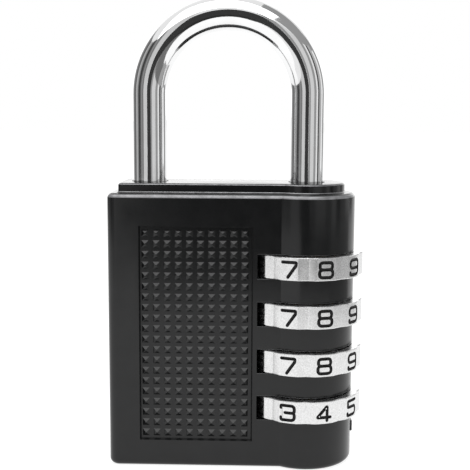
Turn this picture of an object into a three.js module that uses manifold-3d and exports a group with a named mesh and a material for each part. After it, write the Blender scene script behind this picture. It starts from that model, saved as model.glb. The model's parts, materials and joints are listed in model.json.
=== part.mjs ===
// Four-dial combination padlock: die-cast body, steel shackle, four number dials on lock hubs.
// Millimetres, +Z up. The origin is at the middle of the flat underside; +X is the dial side.
import * as THREE from 'three';
import { mergeVertices } from 'three/addons/utils/BufferGeometryUtils.js';
import Module from 'manifold-3d';

const wasm = await Module();
wasm.setup();

// ---- Driving dimensions -------------------------------------------------------------------
const BODY_HEIGHT = 54;            // underside to the top of the raised plate
const BODY_DEPTH = 15.8;           // between the two flat faces
const BARREL_BULGE = 1.35;         // how far the round barrel stands proud of a flat face
const LEG_SPACING = 30;            // between the axes of the two shackle legs
const LEFT_MARGIN = 7.3;           // short leg axis to the plain side of the body
const CORNER_RADIUS = 2;           // upright edges of the plain side
const EDGE_ROUND = 1.1;            // rounding of the shoulder and of the bottom edge
const PLATE_RISE = 1.8;            // height of the raised top plate
const PLATE_INSET = 2;             // step between the body outline and the plate
const PANEL_WIDTH = 21.3;          // recessed grip panel, front and back
const PANEL_HEIGHT = 41;
const PANEL_BOTTOM = 5.2;
const PANEL_LEFT_MARGIN = 6;       // plain side of the body to the panel
const PANEL_DEPTH = 0.6;
const WALL = 2.4;                  // casting wall
const POCKET_COUNT = 3;            // lightening pockets cast into the plain side
const RIB = 2;                     // between two pockets

const ROD_DIAMETER = 6.4;          // shackle rod
const SHACKLE_HEIGHT = 34.7;       // top of the plate to the top of the shackle
const SHORT_LEG_REACH = 7.4;       // length of the short leg inside the body
const STROKE_SHORTFALL = 0.6;      // the shackle lifts one dial pitch less this
const SPINDLE_DIAMETER = 4.4;      // turned-down end of the long leg
const SPINDLE_END_Z = 4.9;

const DIAL_COUNT = 4;
const DIAL_PITCH = 9;              // between neighbouring dials
const DIAL_HEIGHT = 4.3;
const LOWEST_DIAL_Z = 11.8;        // middle of the lowest dial
const DIAL_STANDOFF = 1.7;         // how far a dial stands proud of the barrel
const DIAL_DIGITS = 10;
const PAD_HALF_ANGLE = 10;         // degrees, half of one digit's flat crest
const GROOVE_DEPTH = 0.32;         // valley between two digits
const VALLEY_HALF_ANGLE = 0.6;     // degrees, half of the narrow valley floor

const HUB_WALL = 2.6;              // round the bore that the fins run in
const HUB_BORE_PLAY = 0.4;         // rod surface to that bore
const FLANGE_HEIGHT = 1.2;         // inner flange that blocks the fins
const FIN_HEIGHT = 3.2;
const FIN_WIDTH = 1.4;
const FIN_INSET = 0.1;             // fin tip inside the rod's own surface
const TOOTH_WIDTH = 1;             // drive tooth of a hub
const TOOTH_RISE = 0.8;
const TOOTH_HEIGHT = 3.4;
const WASHER_HEIGHT = 0.6;
const CLIP_HEIGHT = 0.8;           // retaining clip on the spindle
const CLIP_REST_DROP = 0.2;        // spare travel between the clip and its stop
const CLIP_GROOVE_RADIUS = 1.55;
const BASE_HEIGHT = 1.5;           // base plate
const SEAT_HEIGHT = 0.5;           // flange of the spring seat
const SEAT_RADIUS = 2.6;
const SEAT_PEG_RADIUS = 1.1;
const SEAT_PEG_HEIGHT = 1.3;
const PIN_RADIUS = 0.9;
const PIN_LENGTH = 7;
const SHACKLE_SPRING_RADIUS = 1.9; // to the middle of the wire
const SHACKLE_WIRE = 0.4;
const SHACKLE_TURNS = 3.5;
const HUB_SPRING_RADIUS = 5.3;
const HUB_WIRE = 0.8;
const HUB_TURNS = 2.5;
const LEAF = 0.3;                  // thickness of the detent spring
const LEAF_WIDTH = 2;              // height of one detent finger
const SPINE_WIDTH = 5;
const DETENT_ANGLE = 18;           // degrees from the plain side to the groove that is held
const INDEX_RISE = 0.35;           // raised index mark under the lowest dial
const INDEX_WIDTH = 1.4;
const INDEX_HEIGHT = 2.1;
const INDEX_DROP = 2.3;            // below the lowest slot

// ---- Named clearances ---------------------------------------------------------------------
const FACE_GAP = 0.3;              // between pieces that rest face to face
const RUN_GAP = 0.2;               // round a piece that slides or turns
const PRESS_GAP = 0.12;            // round a pressed-in piece
const DIAL_GAP = 0.15;             // above and below a dial in its slot
const SLOT_SIDE_GAP = 1.15;        // round a dial in its slot
const TIP_GAP = 0.15;              // detent nose to a digit's crest
const THROUGH = 5;                 // how far a cutting tool runs past its work

// ---- Derived places -----------------------------------------------------------------------
const BARREL_RADIUS = BODY_DEPTH / 2 + BARREL_BULGE;
const DIAL_RADIUS = BARREL_RADIUS + DIAL_STANDOFF;
const SLOT_RADIUS = DIAL_RADIUS + SLOT_SIDE_GAP;
const OVERALL_WIDTH = LEFT_MARGIN + LEG_SPACING + DIAL_RADIUS;
const BODY_LEFT = -OVERALL_WIDTH / 2;
const SHORT_X = BODY_LEFT + LEFT_MARGIN;
const LONG_X = SHORT_X + LEG_SPACING;
const SHOULDER_Z = BODY_HEIGHT - PLATE_RISE;
const ROD_RADIUS = ROD_DIAMETER / 2;
const SPINDLE_RADIUS = SPINDLE_DIAMETER / 2;
const FIN_REACH = ROD_RADIUS - FIN_INSET;
const HUB_BORE_RADIUS = ROD_RADIUS + HUB_BORE_PLAY;
const HUB_RADIUS = HUB_BORE_RADIUS + HUB_WALL;
const SHACKLE_STROKE = DIAL_PITCH - STROKE_SHORTFALL;
const DIAL_Z = Array.from({ length: DIAL_COUNT }, (_, i) => LOWEST_DIAL_Z + (DIAL_COUNT - 1 - i) * DIAL_PITCH);
const INDEX_TOP = LOWEST_DIAL_Z - DIAL_HEIGHT / 2 - DIAL_GAP - INDEX_DROP;
const HUB_HEIGHT = DIAL_PITCH - FACE_GAP;
const HUB_STACK_TOP = DIAL_Z[0] + HUB_HEIGHT / 2;
const HUB_STACK_BOTTOM = LOWEST_DIAL_Z - HUB_HEIGHT / 2;
const TOP_WASHER_Z = HUB_STACK_TOP + FACE_GAP;
const HUB_BORE_TOP = TOP_WASHER_Z + WASHER_HEIGHT + FACE_GAP;
const HUB_WELL_RADIUS = HUB_RADIUS + RUN_GAP;
const LEG_SHOULDER_Z = HUB_STACK_TOP + FACE_GAP;
const RECESS_TOP = BASE_HEIGHT + FACE_GAP;
const LOW_WASHER_Z = HUB_STACK_BOTTOM - FACE_GAP - WASHER_HEIGHT;
const LOWEST_FLANGE_Z = LOWEST_DIAL_Z + HUB_HEIGHT / 2 - FLANGE_HEIGHT;
const CLIP_TOP_Z = LOWEST_FLANGE_Z - SHACKLE_STROKE - CLIP_REST_DROP;
const SHORT_LEG_Z = BODY_HEIGHT - SHORT_LEG_REACH;
const TOOTH_CUT_WIDTH = TOOTH_WIDTH + 2 * RUN_GAP;
const TOOTH_CUT_RADIUS = HUB_RADIUS + TOOTH_RISE + RUN_GAP;
const CAVITY_LEFT = BODY_LEFT + WALL;
const CAVITY_RIGHT = LONG_X - SLOT_RADIUS - WALL;
const CAVITY_HALF_DEPTH = BODY_DEPTH / 2 - PANEL_DEPTH - WALL;
const CAVITY_TOP = SHORT_LEG_Z - WALL;
const PIN_BOSS_RADIUS = PIN_RADIUS + 1.4;
const PIN_X = [CAVITY_LEFT + PIN_BOSS_RADIUS - 0.3, (CAVITY_RIGHT + LONG_X - HUB_WELL_RADIUS) / 2];
const PIN_BOSS_TOP = BASE_HEIGHT + PIN_LENGTH + 2;

// ---- Materials ----------------------------------------------------------------------------
const BLACK_PAINT = new THREE.MeshStandardMaterial({ color: 0x1c1d1e, roughness: 0.38, metalness: 0.2 });
const CHROME = new THREE.MeshStandardMaterial({ color: 0xe4e6e8, roughness: 0.08, metalness: 1 });
const NICKEL = new THREE.MeshStandardMaterial({ color: 0xd2d3d2, roughness: 0.22, metalness: 1 });
const BRASS = new THREE.MeshStandardMaterial({ color: 0xb5934a, roughness: 0.35, metalness: 1 });
const SPRING_STEEL = new THREE.MeshStandardMaterial({ color: 0x8c8f92, roughness: 0.3, metalness: 1 });

// ---- Solids -------------------------------------------------------------------------------
function solid(geometry) {
  const bare = geometry.clone();
  bare.deleteAttribute('normal');
  bare.deleteAttribute('uv');
  const merged = mergeVertices(bare, 1e-4);
  return new wasm.Manifold(new wasm.Mesh({
    numProp: 3,
    vertProperties: new Float32Array(merged.attributes.position.array),
    triVerts: new Uint32Array(merged.index.array),
  }));
}

function geometryOf(body) {
  const mesh = body.getMesh();
  const geometry = new THREE.BufferGeometry();
  geometry.setAttribute('position', new THREE.BufferAttribute(mesh.vertProperties, 3));
  geometry.setIndex(new THREE.BufferAttribute(mesh.triVerts, 1));
  geometry.computeVertexNormals();
  return geometry;
}

function addAll(bodies) {
  return bodies.reduce((whole, piece) => whole.add(piece));
}

function cutAll(body, tools) {
  return tools.reduce((rest, tool) => rest.subtract(tool), body);
}

function prism(shape, low, high, segments = 12) {
  const geometry = new THREE.ExtrudeGeometry(shape, {
    depth: high - low, bevelEnabled: false, curveSegments: segments,
  });
  geometry.translate(0, 0, low);
  return solid(geometry);
}

// Prism whose two ends are rounded off by `round`, on the outline's own size in between.
function roundedPrism(shape, low, high, round, segments = 12) {
  const geometry = new THREE.ExtrudeGeometry(shape, {
    depth: high - low - 2 * round,
    bevelEnabled: true, bevelThickness: round, bevelSize: round, bevelOffset: -round, bevelSegments: 2,
    curveSegments: segments,
  });
  geometry.translate(0, 0, low + round);
  return solid(geometry);
}

function block(x0, x1, y0, y1, z0, z1) {
  const geometry = new THREE.BoxGeometry(x1 - x0, y1 - y0, z1 - z0);
  geometry.translate((x0 + x1) / 2, (y0 + y1) / 2, (z0 + z1) / 2);
  return solid(geometry);
}

function disc(x, radius, low, high, segments = 32) {
  const geometry = new THREE.CylinderGeometry(radius, radius, high - low, segments);
  geometry.rotateX(Math.PI / 2);
  geometry.translate(x, 0, (low + high) / 2);
  return solid(geometry);
}

// Solid of revolution about the upright axis at x; the profile is a list of [radius, z].
function turned(x, profile, segments = 32) {
  const points = profile.map(([radius, z]) => new THREE.Vector2(radius, z));
  const geometry = new THREE.LatheGeometry(points, segments);
  geometry.rotateX(Math.PI / 2);
  geometry.translate(x, 0, 0);
  return solid(geometry);
}

function washer(x, outer, inner, low, high, segments = 32) {
  return disc(x, outer, low, high, segments).subtract(disc(x, inner, low - THROUGH, high + THROUGH, segments));
}

// A block that reaches from the long leg's axis to `reach`, turned by `angle` about that axis.
function spoke(angle, start, reach, width, low, high) {
  const geometry = new THREE.BoxGeometry(reach - start, width, high - low);
  geometry.translate((reach + start) / 2, 0, (low + high) / 2);
  geometry.rotateZ(angle);
  geometry.translate(LONG_X, 0, 0);
  return solid(geometry);
}

// ---- Housing ------------------------------------------------------------------------------
// Flat box with rounded upright corners on the plain side, running into the round dial barrel.
function bodyOutline(inset) {
  const half = BODY_DEPTH / 2 - inset;
  const barrel = BARREL_RADIUS - inset;
  const left = BODY_LEFT + inset;
  const corner = Math.max(CORNER_RADIUS - inset, CORNER_RADIUS / 4);
  const join = Math.asin(half / barrel);
  const shape = new THREE.Shape();
  shape.moveTo(left + corner, -half);
  shape.lineTo(LONG_X - barrel * Math.cos(join), -half);
  shape.absarc(LONG_X, 0, barrel, Math.PI + join, 3 * Math.PI - join, false);
  shape.lineTo(left + corner, half);
  shape.absarc(left + corner, half - corner, corner, Math.PI / 2, Math.PI, false);
  shape.lineTo(left, -half + corner);
  shape.absarc(left + corner, -half + corner, corner, Math.PI, 1.5 * Math.PI, false);
  return shape;
}

function housing() {
  const shell = roundedPrism(bodyOutline(0), 0, SHOULDER_Z, EDGE_ROUND, 20);
  const plate = prism(bodyOutline(PLATE_INSET), SHOULDER_Z - WALL, BODY_HEIGHT, 16);
  const panelLeft = BODY_LEFT + PANEL_LEFT_MARGIN;
  const panelFloor = BODY_DEPTH / 2 - PANEL_DEPTH;
  const panels = [-1, 1].map((side) => {
    const near = side * panelFloor;
    const far = side * (panelFloor + THROUGH);
    return block(panelLeft, panelLeft + PANEL_WIDTH, Math.min(near, far), Math.max(near, far),
      PANEL_BOTTOM, PANEL_BOTTOM + PANEL_HEIGHT);
  });
  const slots = DIAL_Z.map((z) => disc(LONG_X, SLOT_RADIUS,
    z - DIAL_HEIGHT / 2 - DIAL_GAP, z + DIAL_HEIGHT / 2 + DIAL_GAP, 48));
  const windows = DIAL_Z.map((z) => block(CAVITY_RIGHT - WALL, LONG_X - DIAL_RADIUS,
    -LEAF / 2 - FACE_GAP, LEAF / 2 + FACE_GAP, z - LEAF_WIDTH / 2 - FACE_GAP, z + LEAF_WIDTH / 2 + FACE_GAP));
  const pocketWidth = (CAVITY_RIGHT - CAVITY_LEFT + RIB) / POCKET_COUNT - RIB;
  const boss = block(BODY_LEFT, PIN_X[0] + PIN_BOSS_RADIUS, -PIN_BOSS_RADIUS, PIN_BOSS_RADIUS,
    -THROUGH, PIN_BOSS_TOP);
  const pockets = Array.from({ length: POCKET_COUNT }, (_, i) => {
    const left = CAVITY_LEFT + i * (pocketWidth + RIB);
    return block(left, left + pocketWidth, -CAVITY_HALF_DEPTH, CAVITY_HALF_DEPTH, -THROUGH, CAVITY_TOP)
      .subtract(boss);
  });
  const recess = prism(bodyOutline(WALL), -THROUGH, RECESS_TOP, 16);
  const pinHoles = PIN_X.map((x) => disc(x, PIN_RADIUS + PRESS_GAP, -THROUGH, BASE_HEIGHT + PIN_LENGTH, 16));
  const index = block(LONG_X, LONG_X + BARREL_RADIUS + INDEX_RISE, -INDEX_WIDTH / 2, INDEX_WIDTH / 2,
    INDEX_TOP - INDEX_HEIGHT, INDEX_TOP);
  const keyway = spoke(Math.PI / 2, 0, TOOTH_CUT_RADIUS, TOOTH_CUT_WIDTH, -THROUGH,
    DIAL_Z[0] + DIAL_HEIGHT / 2);
  return cutAll(addAll([shell, plate, index]), [
    ...panels, ...slots, ...windows, ...pockets, recess, ...pinHoles, keyway,
    disc(LONG_X, HUB_WELL_RADIUS, -THROUGH, HUB_BORE_TOP, 40),
    disc(LONG_X, ROD_RADIUS + RUN_GAP, HUB_BORE_TOP - WALL, BODY_HEIGHT + THROUGH, 28),
    disc(SHORT_X, ROD_RADIUS + RUN_GAP, SHORT_LEG_Z - FACE_GAP, BODY_HEIGHT + THROUGH, 28),
  ]);
}

function basePlate() {
  const plate = prism(bodyOutline(WALL + RUN_GAP), 0, BASE_HEIGHT, 16);
  return cutAll(plate, PIN_X.map((x) => disc(x, PIN_RADIUS + PRESS_GAP, -THROUGH, BASE_HEIGHT + THROUGH, 16)));
}

function basePin(x) {
  return disc(x, PIN_RADIUS, FACE_GAP / 2, BASE_HEIGHT + PIN_LENGTH - FACE_GAP, 16);
}

// ---- Shackle ------------------------------------------------------------------------------
// Centre line: up the short leg, half a circle over, and down the long leg.
class ShackleLine extends THREE.Curve {
  getPoint(t) {
    const bend = LEG_SPACING / 2;
    const springZ = BODY_HEIGHT + SHACKLE_HEIGHT - ROD_RADIUS - bend;
    const up = springZ - SHORT_LEG_Z;
    const over = Math.PI * bend;
    const down = springZ - LEG_SHOULDER_Z;
    const along = t * (up + over + down);
    if (along < up) return new THREE.Vector3(SHORT_X, 0, SHORT_LEG_Z + along);
    if (along > up + over) return new THREE.Vector3(LONG_X, 0, springZ - (along - up - over));
    const angle = Math.PI - (along - up) / bend;
    return new THREE.Vector3(SHORT_X + bend + bend * Math.cos(angle), 0, springZ + bend * Math.sin(angle));
  }
}

function circleShape(radius) {
  const shape = new THREE.Shape();
  shape.absarc(0, 0, radius, 0, 2 * Math.PI, false);
  return shape;
}

function shackle() {
  const rod = solid(new THREE.ExtrudeGeometry(circleShape(ROD_RADIUS), {
    extrudePath: new ShackleLine(), steps: 48, curveSegments: 9,
  }));
  const toe = ROD_RADIUS / 4;
  const toeCutter = turned(SHORT_X, [
    [ROD_RADIUS - toe, SHORT_LEG_Z - toe], [ROD_RADIUS + toe, SHORT_LEG_Z - toe],
    [ROD_RADIUS + toe, SHORT_LEG_Z + toe], [ROD_RADIUS, SHORT_LEG_Z + toe],
    [ROD_RADIUS - toe, SHORT_LEG_Z], [ROD_RADIUS - toe, SHORT_LEG_Z - toe],
  ], 24);
  const clipLow = CLIP_TOP_Z - CLIP_HEIGHT - PRESS_GAP;
  const clipHigh = CLIP_TOP_Z + PRESS_GAP;
  const spindle = turned(LONG_X, [
    [0, SPINDLE_END_Z], [SPINDLE_RADIUS, SPINDLE_END_Z], [SPINDLE_RADIUS, clipLow],
    [CLIP_GROOVE_RADIUS, clipLow], [CLIP_GROOVE_RADIUS, clipHigh], [SPINDLE_RADIUS, clipHigh],
    [SPINDLE_RADIUS, LEG_SHOULDER_Z + ROD_RADIUS], [0, LEG_SHOULDER_Z + ROD_RADIUS],
  ], 20);
  const fins = DIAL_Z.map((z) => {
    const top = z + HUB_HEIGHT / 2 - FLANGE_HEIGHT - FACE_GAP;
    return spoke(Math.PI, SPINDLE_RADIUS / 2, FIN_REACH, FIN_WIDTH, top - FIN_HEIGHT, top);
  });
  return addAll([rod.subtract(toeCutter), spindle, ...fins]);
}

function retainingClip() {
  const low = CLIP_TOP_Z - CLIP_HEIGHT;
  const ring = washer(LONG_X, HUB_BORE_RADIUS - RUN_GAP, CLIP_GROOVE_RADIUS + PRESS_GAP, low, CLIP_TOP_Z, 28);
  return ring.subtract(spoke(Math.PI / 2, 0, HUB_BORE_RADIUS + THROUGH, CLIP_GROOVE_RADIUS * 1.6,
    low - THROUGH, CLIP_TOP_Z + THROUGH));
}

// ---- Dials and hubs -----------------------------------------------------------------------
// Ten crests with shallow valleys between them; the valley at the front is a middle valley.
function dial(z) {
  const step = 2 * Math.PI / DIAL_DIGITS;
  const pad = THREE.MathUtils.degToRad(PAD_HALF_ANGLE);
  const floor = THREE.MathUtils.degToRad(VALLEY_HALF_ANGLE);
  const outline = [];
  for (let digit = 0; digit < DIAL_DIGITS; digit += 1) {
    const middle = (digit + 0.5) * step - Math.PI / 2;
    for (const share of [-1, -0.33, 0.33, 1]) {
      outline.push([DIAL_RADIUS, middle + share * pad]);
    }
    outline.push([DIAL_RADIUS - GROOVE_DEPTH, middle + step / 2 - floor]);
    outline.push([DIAL_RADIUS - GROOVE_DEPTH, middle + step / 2 + floor]);
  }
  const shape = new THREE.Shape(outline.map(([radius, angle]) =>
    new THREE.Vector2(LONG_X + radius * Math.cos(angle), radius * Math.sin(angle))));
  const low = z - DIAL_HEIGHT / 2;
  const high = z + DIAL_HEIGHT / 2;
  const notches = Array.from({ length: DIAL_DIGITS }, (_, i) => spoke(Math.PI / 2 + i * step, 0,
    TOOTH_CUT_RADIUS, TOOTH_CUT_WIDTH, low - THROUGH, high + THROUGH));
  return cutAll(prism(shape, low, high), [
    disc(LONG_X, HUB_WELL_RADIUS, low - THROUGH, high + THROUGH, 40), ...notches,
  ]);
}

function hub(z) {
  const low = z - HUB_HEIGHT / 2;
  const high = z + HUB_HEIGHT / 2;
  const flangeBore = SPINDLE_RADIUS + RUN_GAP;
  const sleeve = disc(LONG_X, HUB_RADIUS, low, high, 32);
  const tooth = spoke(Math.PI / 2, HUB_BORE_RADIUS + RUN_GAP, HUB_RADIUS + TOOTH_RISE, TOOTH_WIDTH,
    z - TOOTH_HEIGHT / 2, z + TOOTH_HEIGHT / 2);
  return cutAll(addAll([sleeve, tooth]), [
    disc(LONG_X, HUB_BORE_RADIUS, low - THROUGH, high - FLANGE_HEIGHT, 28),
    disc(LONG_X, flangeBore, low - THROUGH, high + THROUGH, 28),
    spoke(Math.PI, 0, HUB_BORE_RADIUS, FIN_WIDTH + 2 * RUN_GAP, low, high + THROUGH),
  ]);
}

// ---- Springs and seats --------------------------------------------------------------------
class HelixLine extends THREE.Curve {
  constructor(radius, low, high, turns) {
    super();
    Object.assign(this, { radius, low, high, turns });
  }

  getPoint(t) {
    const angle = 2 * Math.PI * this.turns * t;
    return new THREE.Vector3(LONG_X + this.radius * Math.cos(angle), this.radius * Math.sin(angle),
      this.low + (this.high - this.low) * t);
  }
}

function coil(radius, wire, turns, low, high, stepsPerTurn) {
  const line = new HelixLine(radius, low + wire / 2, high - wire / 2, turns);
  return solid(new THREE.ExtrudeGeometry(circleShape(wire / 2), {
    extrudePath: line, steps: Math.round(turns * stepsPerTurn), curveSegments: 3,
  }));
}

function springSeat() {
  const low = RECESS_TOP;
  return turned(LONG_X, [
    [0, low], [SEAT_RADIUS, low], [SEAT_RADIUS, low + SEAT_HEIGHT], [SEAT_PEG_RADIUS, low + SEAT_HEIGHT],
    [SEAT_PEG_RADIUS, low + SEAT_PEG_HEIGHT], [0, low + SEAT_PEG_HEIGHT],
  ], 20);
}

// Comb of leaf fingers: each comes through its window, follows the slot wall and ends in a nose
// that faces the groove between two digits.
function detentFinger(z) {
  const outer = SLOT_RADIUS - RUN_GAP;
  const inner = outer - LEAF;
  const noseAngle = Math.PI - THREE.MathUtils.degToRad(DETENT_ANGLE);
  const at = (radius, angle) => new THREE.Vector2(LONG_X + radius * Math.cos(angle), radius * Math.sin(angle));
  const noseTip = DIAL_RADIUS + TIP_GAP;
  const noseHalf = LEAF / noseTip;
  const points = [
    new THREE.Vector2(CAVITY_RIGHT - FACE_GAP - LEAF / 2, LEAF / 2),
    new THREE.Vector2(CAVITY_RIGHT - FACE_GAP - LEAF / 2, -LEAF / 2),
    at(inner, Math.PI + LEAF / 2 / inner),
  ];
  const bends = 4;
  for (let i = 1; i < bends; i += 1) {
    points.push(at(inner, Math.PI + (noseAngle + 2 * noseHalf - Math.PI) * i / bends));
  }
  points.push(at(inner, noseAngle + 2 * noseHalf));
  points.push(at(noseTip, noseAngle + noseHalf / 2));
  points.push(at(noseTip, noseAngle - noseHalf / 2));
  points.push(at(inner, noseAngle - 2 * noseHalf));
  for (let i = 0; i < bends; i += 1) {
    const from = noseAngle - 2 * noseHalf;
    points.push(at(outer, from + (Math.PI - LEAF / outer - from) * i / (bends - 1)));
  }
  points.push(new THREE.Vector2(LONG_X - outer, LEAF / 2));
  return prism(new THREE.Shape(points), z - LEAF_WIDTH / 2, z + LEAF_WIDTH / 2);
}

function detentSpring() {
  const right = CAVITY_RIGHT - FACE_GAP;
  const spine = block(right - LEAF, right, -SPINE_WIDTH / 2, SPINE_WIDTH / 2,
    LOWEST_DIAL_Z - DIAL_HEIGHT / 2, DIAL_Z[0] + DIAL_HEIGHT / 2);
  return addAll([spine, ...DIAL_Z.map(detentFinger)]);
}

// ---- Assembly -----------------------------------------------------------------------------
const lock = new THREE.Group();

function place(name, body, material) {
  const mesh = new THREE.Mesh(geometryOf(body), material.clone());
  mesh.name = name;
  lock.add(mesh);
}

place('housing', housing(), BLACK_PAINT);
place('base_plate', basePlate(), BLACK_PAINT);
place('base_pin_left', basePin(PIN_X[0]), SPRING_STEEL);
place('base_pin_right', basePin(PIN_X[1]), SPRING_STEEL);
place('shackle', shackle(), CHROME);
place('retaining_clip', retainingClip(), SPRING_STEEL);
place('spring_seat', springSeat(), BRASS);
place('shackle_spring', coil(SHACKLE_SPRING_RADIUS, SHACKLE_WIRE, SHACKLE_TURNS,
  RECESS_TOP + SEAT_HEIGHT + RUN_GAP, SPINDLE_END_Z - RUN_GAP, 14), SPRING_STEEL);
place('hub_return_spring', coil(HUB_SPRING_RADIUS, HUB_WIRE, HUB_TURNS,
  RECESS_TOP + RUN_GAP, LOW_WASHER_Z - RUN_GAP, 20), SPRING_STEEL);
place('hub_washer_lower', washer(LONG_X, HUB_RADIUS, HUB_BORE_RADIUS, LOW_WASHER_Z,
  LOW_WASHER_Z + WASHER_HEIGHT), BRASS);
place('hub_washer_upper', washer(LONG_X, HUB_RADIUS, HUB_BORE_RADIUS, TOP_WASHER_Z,
  TOP_WASHER_Z + WASHER_HEIGHT), BRASS);
place('detent_spring', detentSpring(), SPRING_STEEL);
DIAL_Z.forEach((z, i) => {
  place(`dial_${i + 1}`, dial(z), NICKEL);
  place(`hub_${i + 1}`, hub(z), BRASS);
});

export default lock;
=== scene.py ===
# Looks for the four-dial padlock: painted die casting, chrome shackle and plated number dials.
import json
import math

import bmesh
import bpy
from mathutils import Matrix, Vector


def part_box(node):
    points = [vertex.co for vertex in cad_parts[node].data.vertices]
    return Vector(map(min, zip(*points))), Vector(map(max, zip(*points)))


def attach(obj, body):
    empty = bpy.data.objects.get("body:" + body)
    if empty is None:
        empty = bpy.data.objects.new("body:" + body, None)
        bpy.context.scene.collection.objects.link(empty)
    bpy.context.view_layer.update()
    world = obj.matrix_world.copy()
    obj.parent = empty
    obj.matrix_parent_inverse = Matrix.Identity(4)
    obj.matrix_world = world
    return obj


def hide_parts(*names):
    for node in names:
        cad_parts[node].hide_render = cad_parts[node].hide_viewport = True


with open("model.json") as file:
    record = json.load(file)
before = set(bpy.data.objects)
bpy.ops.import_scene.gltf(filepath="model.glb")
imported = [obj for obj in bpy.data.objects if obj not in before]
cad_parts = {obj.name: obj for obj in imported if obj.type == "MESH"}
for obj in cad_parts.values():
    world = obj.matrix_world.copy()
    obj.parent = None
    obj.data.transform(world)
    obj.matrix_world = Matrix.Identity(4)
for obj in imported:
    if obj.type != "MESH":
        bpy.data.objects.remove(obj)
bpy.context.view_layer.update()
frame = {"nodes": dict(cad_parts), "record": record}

# ---- Sizes, in millimetres ------------------------------------------------------------------
MM = 0.001


def box_mm(node):
    lo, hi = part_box(node)
    return lo / MM, hi / MM


housing_lo, housing_hi = box_mm("housing")
shackle_lo, shackle_hi = box_mm("shackle")
hub_lo, hub_hi = box_mm("hub_1")
dial_boxes = [box_mm(f"dial_{i}") for i in range(1, 5)]

ROD = shackle_hi.y                            # shackle rod radius
BODY_HALF = 7.9                               # half the distance between the flat faces
CORNER = 2.0                                  # upright edges of the plain side
LEFT = housing_lo.x
TOP = housing_hi.z
BARREL = housing_hi.y                         # radius of the dial barrel
LONG_X = (hub_lo.x + hub_hi.x) / 2            # axis of the long leg and the dials
SHORT_X = shackle_lo.x + ROD
SHACKLE_TOP = shackle_hi.z
SHOULDER = TOP - 1.8
DIAL_Z = [(lo.z + hi.z) / 2 for lo, hi in dial_boxes]
DIAL_HALF = (dial_boxes[0][1].z - dial_boxes[0][0].z) / 2
DIAL_R = BARREL + 1.7
SLOT_R = DIAL_R + 1.15
SLOT_HALF = DIAL_HALF + 0.15
HUB_WELL = ROD + 3.2
LEG_BORE = ROD + 0.3

PANEL_X = (LEFT + 6.0, LEFT + 27.3)
PANEL_Z = (5.2, 46.2)
PANEL_DEPTH = 0.6
PYRAMID_COLUMNS = 10
PYRAMID_ROWS = 20
PYRAMID_PITCH_X = 2.07
PYRAMID_PITCH_Z = 2.015
PYRAMID_SHIFT = -0.17                         # of the grid from the middle of the panel
PYRAMID_BASE = 0.66                           # half width at the floor
PYRAMID_TIP = 0.1                             # half width at the tip
PYRAMID_RISE = 0.42


# ---- Camera ---------------------------------------------------------------------------------
CAMERA_AT = (5.0, -178.0, 67.2)               # millimetres
CAMERA_YAW = 0.0306                           # radians towards -X
CAMERA_PITCH = 0.1315                         # radians downwards
CAMERA_ROLL = 0.0049
FOCAL = 71.28                                 # millimetres on a 36 mm sensor


def make_camera():
    data = bpy.data.cameras.new("camera")
    data.lens = FOCAL
    data.sensor_width = 36.0
    data.clip_start = 0.01
    data.clip_end = 20.0
    ahead = Vector((-math.sin(CAMERA_YAW), math.cos(CAMERA_YAW), 0))
    right = Vector((math.cos(CAMERA_YAW), math.sin(CAMERA_YAW), 0))
    up = Vector((0, 0, 1))
    look = ahead * math.cos(CAMERA_PITCH) - up * math.sin(CAMERA_PITCH)
    tall = up * math.cos(CAMERA_PITCH) + ahead * math.sin(CAMERA_PITCH)
    x = right * math.cos(CAMERA_ROLL) + tall * math.sin(CAMERA_ROLL)
    y = tall * math.cos(CAMERA_ROLL) - right * math.sin(CAMERA_ROLL)
    camera = bpy.data.objects.new("camera", data)
    bpy.context.scene.collection.objects.link(camera)
    turn = Matrix((x, y, -look)).transposed().to_4x4()
    camera.matrix_world = Matrix.Translation(Vector(CAMERA_AT) * MM) @ turn
    bpy.context.scene.camera = camera


# ---- Materials ------------------------------------------------------------------------------
class Nodes:
    """Short hand for one material's node tree."""

    def __init__(self, name):
        self.material = bpy.data.materials.new(name)
        self.material.use_nodes = True
        self.tree = self.material.node_tree
        self.shader = self.tree.nodes["Principled BSDF"]
        self.place = self.add("ShaderNodeTexCoord").outputs["Object"]

    def add(self, kind, **settings):
        node = self.tree.nodes.new(kind)
        for key, value in settings.items():
            if key in node.inputs:
                node.inputs[key].default_value = value
            else:
                setattr(node, key, value)
        return node

    def link(self, a, b):
        self.tree.links.new(a, b)

    def noise(self, scale, detail=3.0, roughness=0.5, stretch=None):
        node = self.add("ShaderNodeTexNoise", Scale=scale, Detail=detail, Roughness=roughness)
        source = self.place
        if stretch:
            mapping = self.add("ShaderNodeMapping", Scale=stretch)
            self.link(source, mapping.inputs["Vector"])
            source = mapping.outputs["Vector"]
        self.link(source, node.inputs["Vector"])
        return node.outputs["Fac"]

    def ramp(self, value, stops):
        node = self.add("ShaderNodeValToRGB")
        elements = node.color_ramp.elements
        while len(elements) < len(stops):
            elements.new(0.5)
        for element, (position, colour) in zip(elements, stops):
            element.position = position
            element.color = (*colour, 1) if len(colour) == 3 else colour
        self.link(value, node.inputs["Fac"])
        return node.outputs["Color"]

    def remap(self, value, low, high, source=(0.0, 1.0)):
        node = self.add("ShaderNodeMapRange")
        node.inputs["From Min"].default_value = source[0]
        node.inputs["From Max"].default_value = source[1]
        node.inputs["To Min"].default_value = low
        node.inputs["To Max"].default_value = high
        self.link(value, node.inputs["Value"])
        return node.outputs["Result"]

    def bump(self, value, strength, distance, below=None):
        node = self.add("ShaderNodeBump", Strength=strength, Distance=distance)
        self.link(value, node.inputs["Height"])
        if below is not None:
            self.link(below, node.inputs["Normal"])
        return node.outputs["Normal"]

    def set(self, **values):
        for key, value in values.items():
            self.shader.inputs[key.replace("_", " ")].default_value = value
        return self


def grey(value):
    return (value, value, value)


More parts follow.
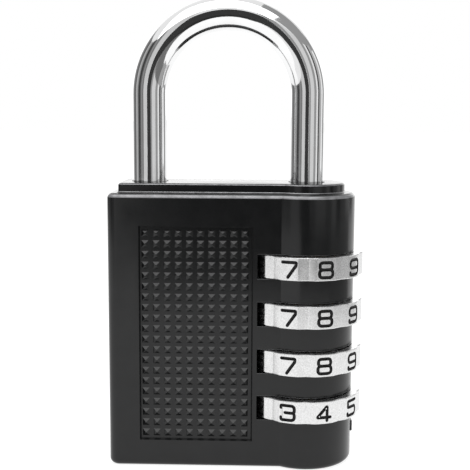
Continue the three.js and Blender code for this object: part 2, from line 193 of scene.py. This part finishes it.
def black_paint():
    """Semi-gloss black paint over die-cast zinc: faint orange peel, dust and slightly uneven gloss, with a
    painted highlight of lighter, half-metallic paint on the rounded edges that the housing marks.
    """
    n = Nodes("black_paint").set(IOR=1.4)
    mottle = n.noise(420, 4, 0.6)
    coat = n.ramp(mottle, [(0.3, (0.0042, 0.0044, 0.0046)), (0.75, (0.0066, 0.0068, 0.007))])
    # The 'edge' face attribute marks the rounded edges where a highlight is painted in: lighter,
    # half-metallic paint whose strength is varied by noise.
    edge = n.add("ShaderNodeAttribute", attribute_name="edge").outputs["Fac"]
    highlight_weight = n.add("ShaderNodeMath", operation="MULTIPLY")
    n.link(edge, highlight_weight.inputs[0])
    n.link(n.remap(n.noise(700, 4, 0.65), 0.4, 0.75, (0.3, 0.7)), highlight_weight.inputs[1])
    painted_edge_highlight = highlight_weight.outputs["Value"]
    mix = n.add("ShaderNodeMix", data_type="RGBA")
    n.link(painted_edge_highlight, mix.inputs["Factor"])
    n.link(coat, mix.inputs[6])
    # Grey of the painted highlight on the rounded edges.
    mix.inputs[7].default_value = (0.3, 0.3, 0.31, 1)
    n.link(mix.outputs[2], n.shader.inputs["Base Color"])
    n.link(n.remap(painted_edge_highlight, 0.0, 0.5), n.shader.inputs["Metallic"])
    n.link(n.remap(n.noise(160, 3), 0.15, 0.22), n.shader.inputs["Roughness"])
    peel = n.bump(n.noise(900, 2), 0.12, 0.00002)
    fine = n.bump(n.noise(5200, 2), 0.1, 0.000006, peel)
    n.link(fine, n.shader.inputs["Normal"])
    return n.material


def chrome():
    """Polished chrome plate with faint lengthwise handling marks."""
    n = Nodes("chrome").set(Metallic=1.0)
    tone = n.ramp(n.noise(300, 3), [(0.3, grey(0.76)), (0.7, (0.8, 0.805, 0.81))])
    n.link(tone, n.shader.inputs["Base Color"])
    n.link(n.remap(n.noise(220, 4, 0.7), 0.035, 0.1, (0.35, 0.75)), n.shader.inputs["Roughness"])
    marks = n.noise(1100, 4, 0.65, (1.0, 1.0, 0.07))
    ripple = n.bump(n.noise(260, 1.0), 0.16, 0.00005)
    n.link(n.bump(marks, 0.22, 0.000012, ripple), n.shader.inputs["Normal"])
    return n.material


def nickel():
    """Bright satin plate on the dials, with a fine cast grain."""
    n = Nodes("nickel_plate").set(Metallic=1.0)
    grain = n.noise(3800, 3, 0.6)
    tone = n.ramp(grain, [(0.3, grey(0.6)), (0.62, grey(0.76))])
    n.link(tone, n.shader.inputs["Base Color"])
    n.link(n.remap(n.noise(700, 3), 0.2, 0.34), n.shader.inputs["Roughness"])
    n.link(n.bump(grain, 0.16, 0.00001, n.bump(n.noise(520, 2), 0.2, 0.00003)), n.shader.inputs["Normal"])
    return n.material


def digit_ink():
    """Glossy black fill in the cut digits."""
    n = Nodes("digit_ink").set(Metallic=0.0, IOR=1.3)
    tone = n.ramp(n.noise(2600, 3), [(0.35, grey(0.004)), (0.8, grey(0.014))])
    n.link(tone, n.shader.inputs["Base Color"])
    n.link(n.remap(n.noise(1500, 2), 0.16, 0.34), n.shader.inputs["Roughness"])
    n.link(n.bump(n.noise(3000, 2), 0.15, 0.00001), n.shader.inputs["Normal"])
    return n.material


def machined(name, dark, light, rough):
    """Turned or drawn metal with fine tool lines."""
    n = Nodes(name).set(Metallic=1.0)
    lines = n.noise(600, 3, 0.6, (1.0, 1.0, 9.0))
    n.link(n.ramp(lines, [(0.3, dark), (0.7, light)]), n.shader.inputs["Base Color"])
    n.link(n.remap(n.noise(400, 3), rough - 0.06, rough + 0.1), n.shader.inputs["Roughness"])
    n.link(n.bump(lines, 0.2, 0.00001), n.shader.inputs["Normal"])
    return n.material


# ---- Mesh tools -----------------------------------------------------------------------------
def new_object(name, verts, faces, *materials):
    """An object from points in millimetres."""
    mesh = bpy.data.meshes.new(name)
    mesh.from_pydata([Vector(v) * MM for v in verts], [], faces)
    mesh.validate()
    shape = bmesh.new()
    shape.from_mesh(mesh)
    bmesh.ops.recalc_face_normals(shape, faces=shape.faces)
    shape.to_mesh(mesh)
    shape.free()
    for material in materials:
        mesh.materials.append(material)
    obj = bpy.data.objects.new(name, mesh)
    bpy.context.scene.collection.objects.link(obj)
    return obj


def loft(rings, capped=True, closed=False):
    """Points and faces of a skin over rings that hold the same number of points each."""
    size = len(rings[0])
    verts = [p for ring in rings for p in ring]
    faces = []
    last = len(rings) if closed else len(rings) - 1
    for k in range(last):
        a = k * size
        b = (k + 1) % len(rings) * size
        faces += [(a + i, a + (i + 1) % size, b + (i + 1) % size, b + i) for i in range(size)]
    if capped and not closed:
        faces.append(tuple(range(size))[::-1])
        faces.append(tuple(range((len(rings) - 1) * size, len(rings) * size)))
    return verts, faces


def smooth(obj, degrees=32.0):
    obj.data.shade_smooth()
    obj.data.set_sharp_from_angle(angle=math.radians(degrees))
    return obj


def baked(obj):
    """Replaces the object's mesh by what its modifiers make of it."""
    graph = bpy.context.evaluated_depsgraph_get()
    mesh = bpy.data.meshes.new_from_object(obj.evaluated_get(graph))
    old = obj.data
    obj.modifiers.clear()
    obj.data = mesh
    bpy.data.meshes.remove(old)
    return obj


def cut(obj, tools, operation="DIFFERENCE"):
    """Cuts with each tool in turn, or joins it on, and removes the tools."""
    for tool in tools:
        step = obj.modifiers.new("cut", "BOOLEAN")
        step.operation = operation
        step.solver = "MANIFOLD"
        step.object = tool
    baked(obj)
    for tool in tools:
        mesh = tool.data
        bpy.data.objects.remove(tool)
        bpy.data.meshes.remove(mesh)
    return obj


def arc(cx, cy, radius, start, end, steps):
    """Points on an arc in degrees, both ends included."""
    turn = [math.radians(start + (end - start) * i / steps) for i in range(steps + 1)]
    return [(cx + radius * math.cos(a), cy + radius * math.sin(a)) for a in turn]


def round_tool(x, radius, low, high, steps=96):
    ring = arc(x, 0, radius, 0, 360 - 360 / steps, steps - 1)
    rings = [[(px, py, z) for px, py in ring] for z in (low, high)]
    return new_object("tool", *loft(rings))


def block_tool(x0, x1, y0, y1, z0, z1):
    ring = [(x0, y0), (x1, y0), (x1, y1), (x0, y1)]
    rings = [[(px, py, z) for px, py in ring] for z in (z0, z1)]
    return new_object("tool", *loft(rings))


# ---- Housing --------------------------------------------------------------------------------
def body_outline(inset, z):
    half = BODY_HALF - inset
    barrel = BARREL - inset
    left = LEFT + inset
    corner = max(CORNER - inset, 0.5)
    join = math.degrees(math.asin(half / barrel))
    ring = arc(left + corner, -half + corner, corner, 180, 270, 10)
    ring += arc(LONG_X, 0, barrel, 180 + join, 540 - join, 96)
    ring += arc(left + corner, half - corner, corner, 90, 180, 10)
    return [(x, y, z) for x, y in ring]


def fillet(centre_inset, centre_z, radius, start, end, steps):
    """Profile points of a rounded edge, as (inset, z)."""
    return [(centre_inset + radius * math.cos(a), centre_z + radius * math.sin(a))
            for a in (math.radians(start + (end - start) * i / steps) for i in range(steps + 1))]


def outer_profile():
    """(inset, z) up the outside of the casting: bottom round, wall, shoulder, cove, plate."""
    bottom, shoulder, cove, lip, step = 1.1, 1.0, 0.4, 0.45, 2.0
    points = fillet(bottom, bottom, bottom, 270, 180, 7)
    points += fillet(shoulder, SHOULDER - shoulder, shoulder, 180, 90, 7)
    points += fillet(step - cove, SHOULDER + cove, cove, 270, 360, 4)
    points += fillet(step + lip, TOP - lip, lip, 180, 90, 4)
    return points


def soften_slots(obj, width=0.16):
    """Rounds the outer edges of the dial slots."""
    shape = bmesh.new()
    shape.from_mesh(obj.data)
    bmesh.ops.remove_doubles(shape, verts=shape.verts, dist=1e-7)
    bands = [(z - SLOT_HALF, z + SLOT_HALF) for z in DIAL_Z]
    chosen = []
    for edge in shape.edges:
        if len(edge.link_faces) != 2 or edge.calc_face_angle_signed() < math.radians(50):
            continue
        heights = [v.co.z / MM for v in edge.verts]
        if any(all(lo - 1e-3 < h < hi + 1e-3 for h in heights) for lo, hi in bands):
            chosen.append(edge)
    bmesh.ops.bevel(shape, geom=chosen, offset=width * MM, offset_type="OFFSET", segments=2,
                    profile=0.5, affect="EDGES", clamp_overlap=True)
    shape.to_mesh(obj.data)
    shape.free()
    return obj


def mark_highlight_edges(obj):
    """Marks the rounded edges whose slope lies between flat and upright, where a highlight is painted into
    the black paint.
    """
    values = []
    for face in obj.data.polygons:
        tilt = abs(face.normal.z)
        across = max(abs(face.normal.x), abs(face.normal.y))
        at = face.center / MM
        in_panel = PANEL_X[0] - 1 < at.x < PANEL_X[1] + 1 and abs(at.z - sum(PANEL_Z) / 2) < 21.5
        # Only faces sloped between flat and upright, above the bottom round and outside the grip panels, get
        # the painted highlight.
        slope_gets_highlight = 0.28 < tilt < 0.8 and across > 0.12 and at.z > 3.0
        values.append(1.0 if slope_gets_highlight and not in_panel else 0.0)
    layer = obj.data.attributes.new("edge", "FLOAT", "FACE")
    layer.data.foreach_set("value", values)


def panel_tool(side):
    """Cutter for one grip panel: its inner face is the panel floor with rows of small pyramids."""
    middle_x = sum(PANEL_X) / 2 + PYRAMID_SHIFT
    middle_z = sum(PANEL_Z) / 2
    slope = 0.25

    def lines(middle, count, pitch, low, high):
        marks = [low]
        for i in range(count):
            at = middle + (i - (count - 1) / 2) * pitch
            marks += [at - PYRAMID_BASE, at - PYRAMID_TIP, at + PYRAMID_TIP, at + PYRAMID_BASE]
        return marks + [high]

    xs = lines(middle_x, PYRAMID_COLUMNS, PYRAMID_PITCH_X, PANEL_X[0] + slope, PANEL_X[1] - slope)
    zs = lines(middle_z, PYRAMID_ROWS, PYRAMID_PITCH_Z, PANEL_Z[0] + slope, PANEL_Z[1] - slope)
    floor_y = BODY_HALF - PANEL_DEPTH
    far_y = BODY_HALF + 2.0
    spread = slope * (far_y - floor_y) / PANEL_DEPTH
    high = {(i, k) for i in range(2, len(xs) - 1, 4) for k in range(2, len(zs) - 1, 4)}
    high |= {(i + a, k + b) for i, k in list(high) for a, b in ((1, 0), (0, 1), (1, 1))}
    verts = [(x, side * (floor_y + (PYRAMID_RISE if (i, k) in high else 0)), z)
             for i, x in enumerate(xs) for k, z in enumerate(zs)]
    rows = len(zs)
    faces = []
    for i in range(len(xs) - 1):
        for k in range(rows - 1):
            corners = [(i, k), (i + 1, k), (i + 1, k + 1), (i, k + 1)]
            ids = [a * rows + b for a, b in corners]
            raised = [c in high for c in corners]
            if sum(raised) == 1:
                top = raised.index(True)
                faces.append((ids[top], ids[top - 3], ids[top - 2]))
                faces.append((ids[top], ids[top - 2], ids[top - 1]))
            else:
                faces.append(tuple(ids))
    columns = len(xs)
    rim = [(i, 0) for i in range(columns)] + [(columns - 1, k) for k in range(1, rows)]
    rim += [(i, rows - 1) for i in range(columns - 2, -1, -1)] + [(0, k) for k in range(rows - 2, 0, -1)]
    base = len(verts)
    for i, k in rim:
        x = xs[i] + (-spread if i == 0 else spread if i == columns - 1 else 0)
        z = zs[k] + (-spread if k == 0 else spread if k == rows - 1 else 0)
        verts.append((x, side * far_y, z))
    count = len(rim)
    for n in range(count):
        a, b = rim[n], rim[(n + 1) % count]
        faces.append((a[0] * rows + a[1], b[0] * rows + b[1], base + (n + 1) % count, base + n))
    faces.append(tuple(range(base, base + count)))
    return new_object("tool", verts, faces)


def make_housing(paint):
    rings = [body_outline(inset, z) for inset, z in outer_profile()]
    shell = new_object("housing_casting", *loft(rings), paint)
    cut(shell, [round_tool(LONG_X, SLOT_R, z - SLOT_HALF, z + SLOT_HALF, 160) for z in DIAL_Z])
    soften_slots(shell)
    wall, deep = 2.4, 5.0
    pocket_left, pocket_right = LEFT + wall, LONG_X - SLOT_R - wall
    rib = 2.0
    pocket = (pocket_right - pocket_left + rib) / 3 - rib
    depth = BODY_HALF - PANEL_DEPTH - wall
    tools = []
    for i in range(3):
        x0 = pocket_left + i * (pocket + rib)
        tools.append(block_tool(x0, x0 + pocket, -depth, depth, 1.0, 44.2))
    recess = [[(x, y, z) for x, y, _ in body_outline(wall, 0)] for z in (-deep, 1.8)]
    tools.append(new_object("tool", *loft(recess)))
    tools.append(round_tool(LONG_X, HUB_WELL, 1.0, 44.35))
    tools.append(round_tool(LONG_X, LEG_BORE, 43.0, TOP + deep))
    tools.append(round_tool(SHORT_X, LEG_BORE, 46.3, TOP + deep))
    cut(shell, tools)
    cut(shell, [panel_tool(-1), panel_tool(1)])
    mark = index_mark(paint)
    cut(shell, [mark], "UNION")
    # The marked edge faces carry the painted highlight.
    mark_highlight_edges(shell)
    smooth(shell, 20)
    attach(shell, "body")
    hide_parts("housing")
    return shell


def index_mark(paint):
    """Small raised lug under the lowest dial that shows where the code is read."""
    high = DIAL_Z[-1] - SLOT_HALF - 2.3
    low = high - 2.1
    out = BARREL + 0.35
    rings = []
    for reach, grow in ((BARREL - 1.0, 0.0), (out - 0.15, 0.0), (out, -0.15)):
        half = 0.7 + grow
        ring = [(-half, low - grow), (half, low - grow), (half, high + grow), (-half, high + grow)]
        rings.append([(LONG_X + reach, y, z) for y, z in ring])
    return new_object("tool", *loft(rings), paint)


# ---- Dials ----------------------------------------------------------------------------------
GLYPH_W = 1.3                                  # half width of a digit's centre line
GLYPH_H = 1.38                                 # half height
STROKE = 0.32                                  # stroke radius


def rounded(points, radii, closed=False):
    """A line through the points with its corners rounded off."""
    count = len(points)
    out = []
    for i, p in enumerate(points):
        radius = radii[i] if isinstance(radii, (list, tuple)) else radii
        if not closed and i in (0, count - 1) or radius <= 0:
            out.append(p)
            continue
        here = Vector(p)
        before = Vector(points[i - 1]) - here
        after = Vector(points[(i + 1) % count]) - here
        half = before.angle(after) / 2
        reach = min(radius / math.tan(half), before.length * 0.5, after.length * 0.5)
        a = here + before.normalized() * reach
        b = here + after.normalized() * reach
        for step in range(7):
            t = step / 6
            q = a * (1 - t) ** 2 + here * 2 * t * (1 - t) + b * t ** 2
            out.append((q.x, q.y))
    return out


def glyph(digit):
    """The strokes of one digit, each as (points, closed)."""
    w, h, r = GLYPH_W, GLYPH_H, 0.75
    if digit == 0:
        return [(rounded([(-w, -h), (w, -h), (w, h), (-w, h)], 0.95, True), True)]
    if digit == 1:
        return [(rounded([(-0.55, h - 0.75), (0.1, h), (0.1, -h)], [0, 0.1, 0]), False)]
    if digit == 2:
        return [(rounded([(-w, h - 0.55), (-w, h), (w, h), (w, 0.15), (-w, -h), (w, -h)],
                         [0, 0.6, r, 0.7, 0.1, 0]), False)]
    if digit == 3:
        upper = rounded([(-w, h - 0.45), (-w, h), (w, h), (w, 0.02), (-0.45, 0.02)], [0, 0.5, 0.7, 0.5, 0])
        lower = rounded([(-0.45, 0.02), (w, 0.02), (w, -h), (-w, -h), (-w, -h + 0.45)], [0, 0.5, 0.7, 0.5, 0])
        return [(upper, False), (lower, False)]
    if digit == 4:
        slant = rounded([(w * 0.5, -h), (w * 0.5, h), (-w, -h + 0.6), (-0.4, -h + 0.6)], [0, 0.12, 0.12, 0])
        return [(slant, False), ([(-0.4, -h + 0.6), (w, -h + 0.6)], False)]
    if digit == 5:
        left = -w * 0.9
        turns = [(w, h), (left, h), (left, 0.2), (w, 0.2), (w, -h), (-w, -h), (-w, -h + 0.4)]
        return [(rounded(turns, [0, 0.15, 0.15, 0.7, 0.75, 0.5, 0]), False)]
    if digit in (6, 9):
        line = rounded([(w, h - 0.4), (w, h), (-w, h), (-w, -h), (w, -h), (w, 0.12), (0, 0.12)],
                       [0, 0.5, 0.8, 0.8, 0.8, 0.7, 0])
        sign = 1 if digit == 6 else -1
        return [([(sign * x, sign * y) for x, y in run], False) for run in (line, [(0, 0.12), (-w, 0.12)])]
    if digit == 7:
        return [(rounded([(-w, h), (w, h), (w * 0.95, h - 0.6), (-0.25, -h)], [0, 0.2, 0.3, 0]), False)]
    top = rounded([(-w * 0.93, 0.06), (w * 0.93, 0.06), (w * 0.93, h), (-w * 0.93, h)], 0.6, True)
    low = rounded([(-w, -h), (w, -h), (w, 0.06), (-w, 0.06)], 0.68, True)
    return [(top, True), (low, True)]


def stroke_tool(points, closed, middle_angle, z, ink):
    """A round-nosed cutter along one stroke, laid on the dial's crest."""
    dense = []
    pairs = list(zip(points, points[1:] + points[:1])) if closed else list(zip(points, points[1:]))
    for (x0, y0), (x1, y1) in pairs:
        parts = max(1, int(math.hypot(x1 - x0, y1 - y0) / 0.3))
        dense += [(x0 + (x1 - x0) * k / parts, y0 + (y1 - y0) * k / parts) for k in range(parts)]
    if not closed:
        dense.append(points[-1])
    flat = [dense[0]]
    for p in dense[1:]:
        if math.hypot(p[0] - flat[-1][0], p[1] - flat[-1][1]) > 0.05:
            flat.append(p)
    if closed and math.hypot(flat[0][0] - flat[-1][0], flat[0][1] - flat[-1][1]) < 0.05:
        flat.pop()
    count = len(flat)
    rings = []
    radius = DIAL_R + 0.02
    sides = 10

    def on_crest(u, v, out):
        angle = middle_angle + u / DIAL_R
        return (LONG_X + (radius + out) * math.cos(angle), (radius + out) * math.sin(angle), z + v - 0.1)

    def ring_at(p, side, size, along=(0.0, 0.0)):
        made = []
        for s in range(sides):
            turn = 2 * math.pi * (s + 0.5) / sides
            across = size * math.cos(turn)
            made.append(on_crest(p[0] + side[0] * across + along[0], p[1] + side[1] * across + along[1],
                                 size * math.sin(turn)))
        return made

    for i, p in enumerate(flat):
        before = flat[i - 1] if closed or i else p
        after = flat[(i + 1) % count] if closed or i < count - 1 else p
        run = Vector((after[0] - before[0], after[1] - before[1])).normalized()
        side = (-run.y, run.x)
        if not closed and i in (0, count - 1):
            sign = -1 if i == 0 else 1
            caps = [(0.95, 0.3), (0.66, 0.75), (0.3, 0.95)]
            ends = [ring_at(p, side, STROKE * a, (run.x * sign * STROKE * b, run.y * sign * STROKE * b))
                    for a, b in caps]
            middle = ring_at(p, side, STROKE)
            rings += ends[::-1] + [middle] if i == 0 else [middle] + ends
        else:
            rings.append(ring_at(p, side, STROKE))
    return new_object("tool", *loft(rings, closed=closed), ink, ink)


def dial_profile_angles():
    """Angles round a dial, with more of them at the crest corners and at the bore's notches."""
    angles = set()
    for i in range(10):
        middle = 36.0 * i - 90.0 + 18.0
        valley = middle + 18.0
        for offset in (-9.9, -9.2, -8, -6, -4, -2, 0, 2, 4, 6, 8, 9.2, 9.9):
            angles.add(round((middle + offset) % 360, 4))
        for offset in (-6.2, -6.0, -3, -1.2, -0.5, 0, 0.5, 1.2, 3, 6.0, 6.2):
            angles.add(round((valley + offset) % 360, 4))
    return sorted(angles)


def crest_radius(degrees):
    """Outer radius at an angle: a round crest with softened corners, then a shallow V valley."""
    off = abs((degrees + 90.0) % 36.0 - 18.0)    # 0 in the middle of a crest, 18 in a valley
    depth = 0.32
    if off <= 9.2:
        return DIAL_R
    if off <= 9.9:
        return DIAL_R - 0.02
    share = (off - 9.9) / 8.1
    soft = min(1.0, share / 0.93)
    return DIAL_R - 0.04 - (depth - 0.04) * soft


def bore_radius(degrees):
    off = abs((degrees + 90.0 + 18.0) % 36.0 - 18.0)
    return 7.0 if off <= 6.1 else HUB_WELL


def make_dial_mesh(plate, ink):
    """One dial at the lowest dial's height, digit 7 in the crest left of the front valley."""
    z = DIAL_Z[0]
    low, high = z - DIAL_HALF, z + DIAL_HALF
    chamfer = 0.16
    ease = chamfer * 0.3                           # sets the chamfer's middle point out into a round
    rings = []
    for degrees in dial_profile_angles():
        a = math.radians(degrees)
        out, inner = crest_radius(degrees), bore_radius(degrees)
        section = [(inner, low), (out - chamfer, low), (out - ease, low + ease), (out, low + chamfer),
                   (out, high - chamfer), (out - ease, high - ease), (out - chamfer, high), (inner, high)]
        rings.append([(LONG_X + r * math.cos(a), r * math.sin(a), h) for r, h in section])
    dial = new_object("dial_shape", *loft(rings, closed=True), plate, ink)
    for digit in range(10):
        middle = math.radians(-90.0 - 18.0 + 36.0 * (digit - 7))
        for points, closed in glyph(digit):
            cut(dial, [stroke_tool(points, closed, middle, z, ink)])
    return dial


def make_dials(plate, ink):
    shape = make_dial_mesh(plate, ink)
    for i, z in enumerate(DIAL_Z):
        mesh = shape.data.copy()
        shown = 3 if i == 3 else 7                 # digit in the crest left of the front valley
        turn = Matrix.Rotation(math.radians(36.0 * (7 - shown)), 4, "Z")
        at = Vector((LONG_X, 0, 0)) * MM
        lift = Matrix.Translation(Vector((0, 0, z - DIAL_Z[0])) * MM)
        mesh.transform(lift @ Matrix.Translation(at) @ turn @ Matrix.Translation(-at))
        obj = bpy.data.objects.new(f"number_dial_{i + 1}", mesh)
        bpy.context.scene.collection.objects.link(obj)
        smooth(obj, 12)
        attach(obj, f"dial_{i + 1}")
        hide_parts(f"dial_{i + 1}")
    old = shape.data
    bpy.data.objects.remove(shape)
    bpy.data.meshes.remove(old)


# ---- Shackle --------------------------------------------------------------------------------
def make_shackle(metal):
    bend = (LONG_X - SHORT_X) / 2
    spring = SHACKLE_TOP - ROD - bend
    toe = shackle_toe()
    sides = 64
    short_leg = [(toe, ROD - 0.75), (toe + 0.2, ROD - 0.45), (toe + 0.5, ROD - 0.14), (toe + 0.9, ROD),
                 (53.0, ROD), (spring, ROD)]
    line = [((SHORT_X, z), (0.0, 1.0), r) for z, r in short_leg]
    for i in range(1, 64):
        a = math.pi * (1 - i / 64)
        line.append(((SHORT_X + bend + bend * math.cos(a), spring + bend * math.sin(a)),
                     (math.sin(a), -math.cos(a)), ROD))
    low = 43.45
    end, spindle = 4.9, 2.2
    long_leg = [(spring, ROD), (53.0, ROD), (low + 0.3, ROD), (low, ROD - 0.3), (low, spindle),
                (end + 0.3, spindle), (end, spindle - 0.3)]
    line += [((LONG_X, z), (0.0, -1.0), r) for z, r in long_leg]
    rings = []
    for (x, z), (dx, dz), radius in line:
        ring = []
        for s in range(sides):
            a = 2 * math.pi * s / sides
            across, out = radius * math.cos(a), radius * math.sin(a)
            ring.append((x + across * dz, out, z - across * dx))
        rings.append(ring)
    rod = new_object("shackle_rod", *loft(rings), metal)
    fins = []
    for z in DIAL_Z:
        top = z + 4.35 - 1.2 - 0.3
        fins.append(block_tool(LONG_X - 2.9, LONG_X - 1.0, -0.7, 0.7, top - 3.2, top))
    cut(rod, fins, "UNION")
    smooth(rod, 34)
    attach(rod, "shackle")
    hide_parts("shackle")


def shackle_toe():
    """Height of the short leg's end inside the body."""
    return TOP - 7.4


# ---- Light, floor and reflection cards ------------------------------------------------------
def emission(name, value):
    material = bpy.data.materials.new(name)
    material.use_nodes = True
    tree = material.node_tree
    tree.nodes.clear()
    shader = tree.nodes.new("ShaderNodeEmission")
    shader.inputs["Color"].default_value = (value, value, value, 1)
    shader.inputs["Strength"].default_value = 1.0
    out = tree.nodes.new("ShaderNodeOutputMaterial")
    tree.links.new(shader.outputs["Emission"], out.inputs["Surface"])
    return material


def floor_material():
    material = bpy.data.materials.new("floor_white")
    material.use_nodes = True
    tree = material.node_tree
    tree.nodes.clear()
    glow = tree.nodes.new("ShaderNodeEmission")
    glow.inputs["Color"].default_value = (1, 1, 1, 1)
    glow.inputs["Strength"].default_value = 0.8
    plain = tree.nodes.new("ShaderNodeBsdfDiffuse")
    plain.inputs["Color"].default_value = (0.3, 0.3, 0.3, 1)
    both = tree.nodes.new("ShaderNodeAddShader")
    out = tree.nodes.new("ShaderNodeOutputMaterial")
    tree.links.new(glow.outputs["Emission"], both.inputs[0])
    tree.links.new(plain.outputs["BSDF"], both.inputs[1])
    tree.links.new(both.outputs["Shader"], out.inputs["Surface"])
    return material


def make_floor():
    reach = 3000.0
    corners = [(-reach, -reach, 0), (reach, -reach, 0), (reach, reach, 0), (-reach, reach, 0)]
    floor = new_object("floor", corners, [(0, 1, 2, 3)], floor_material())


def card(name, radius, start, end, low, high, value):
    """An upright curved card round the object that only shows in reflections.

    Its angles are degrees to the right of the front, as seen from above the object."""
    steps = 8
    rings = []
    for z in (low, high):
        ring = []
        for i in range(steps + 1):
            a = math.radians(start + (end - start) * i / steps)
            ring.append((radius * math.sin(a), -radius * math.cos(a), z))
        rings.append(ring)
    verts = rings[0] + rings[1]
    faces = [(i, i + 1, steps + 2 + i, steps + 1 + i) for i in range(steps)]
    return reflect_only(new_object(name, verts, faces, emission(name, value)))


def reflect_only(obj):
    obj.visible_camera = False
    obj.visible_diffuse = False
    obj.visible_shadow = False
    obj.visible_transmission = False
    return obj


def floor_card(name, near, far, start, end, value, z=1.0):
    """A flat ring sector just over the floor that only shows in reflections."""
    steps = 10
    rings = []
    for radius in (near, far):
        ring = []
        for i in range(steps + 1):
            a = math.radians(start + (end - start) * i / steps)
            ring.append((radius * math.sin(a), -radius * math.cos(a), z))
        rings.append(ring)
    verts = rings[0] + rings[1]
    faces = [(i, i + 1, steps + 2 + i, steps + 1 + i) for i in range(steps)]
    return reflect_only(new_object(name, verts, faces, emission(name, value)))


# Greys of the room at the sides: degrees to the right of the front, start and end, and the grey.
SIDE_CARDS = [
    (9, 20, 0.36), (20, 44, 0.76), (44, 60, 0.36), (60, 72, 0.95), (72, 84, 0.1), (84, 102, 0.5),
    (118, 134, 0.3), (-38, -15, 0.7), (-48, -38, 0.22), (-56, -48, 0.3), (-64, -56, 0.13),
    (-73, -64, 0.045), (-80, -73, 0.13), (-90, -80, 0.4), (-99, -90, 0.55), (-118, -99, 0.16),
    (-136, -118, 0.28),
]


def make_cards():
    card("card_front", 300, -15, 9, 22, 205, 0.045)
    for i, (start, end, value) in enumerate(SIDE_CARDS):
        card(f"card_side_{i + 1}", 620, start, end, 5, 480, value)
    card("card_back", 640, 150, 210, 60, 260, 1.8)
    floor_card("table_front", 180, 900, -11, 12, 0.03, 1.5)
    floor_card("table_right", 180, 900, 12, 58, 0.2)
    floor_card("table_right_side", 150, 900, 58, 116, 0.42)
    floor_card("table_left", 240, 900, -60, -11, 1.0)
    ceiling = [(150, -500, 520), (800, -500, 520), (800, 400, 520), (150, 400, 520)]
    reflect_only(new_object("ceiling_right", ceiling, [(0, 1, 2, 3)], emission("ceiling_right", 0.36)))


def area_light(name, at, aim, width, height, power):
    data = bpy.data.lights.new(name, "AREA")
    data.shape = "RECTANGLE"
    data.size = width * MM
    data.size_y = height * MM
    data.energy = power
    light = bpy.data.objects.new(name, data)
    bpy.context.scene.collection.objects.link(light)
    place = Vector(at) * MM
    light.location = place
    light.rotation_mode = "QUATERNION"
    light.rotation_quaternion = (Vector(aim) * MM - place).to_track_quat("-Z", "Y")
    return light


def make_light():
    world = bpy.data.worlds.new("studio")
    world.use_nodes = True
    world.node_tree.nodes["Background"].inputs["Color"].default_value = (1, 1, 1, 1)
    world.node_tree.nodes["Background"].inputs["Strength"].default_value = 1.0
    bpy.context.scene.world = world
    area_light("softbox_top", (-60, -160, 420), (0, 0, 40), 540, 380, 1.45)
    bpy.context.scene.view_settings.view_transform = "Standard"


# ---- Assembly -------------------------------------------------------------------------------
make_camera()
make_light()
make_floor()
make_cards()
paint = black_paint()
steel = machined("spring_steel", (0.42, 0.43, 0.44), (0.6, 0.61, 0.62), 0.28)
brass = machined("brass", (0.5, 0.36, 0.15), (0.66, 0.49, 0.22), 0.32)
make_housing(paint)
make_dials(nickel(), digit_ink())
make_shackle(chrome())

FINISH = {"black_paint": paint, "spring_steel": steel, "brass": brass}
for part in frame["record"]["subparts"]:
    finish = FINISH.get(part["material_slot"])
    node = frame["nodes"][part["node"]]
    if finish is not None and not node.hide_render:
        node.data.materials.clear()
        node.data.materials.append(finish)
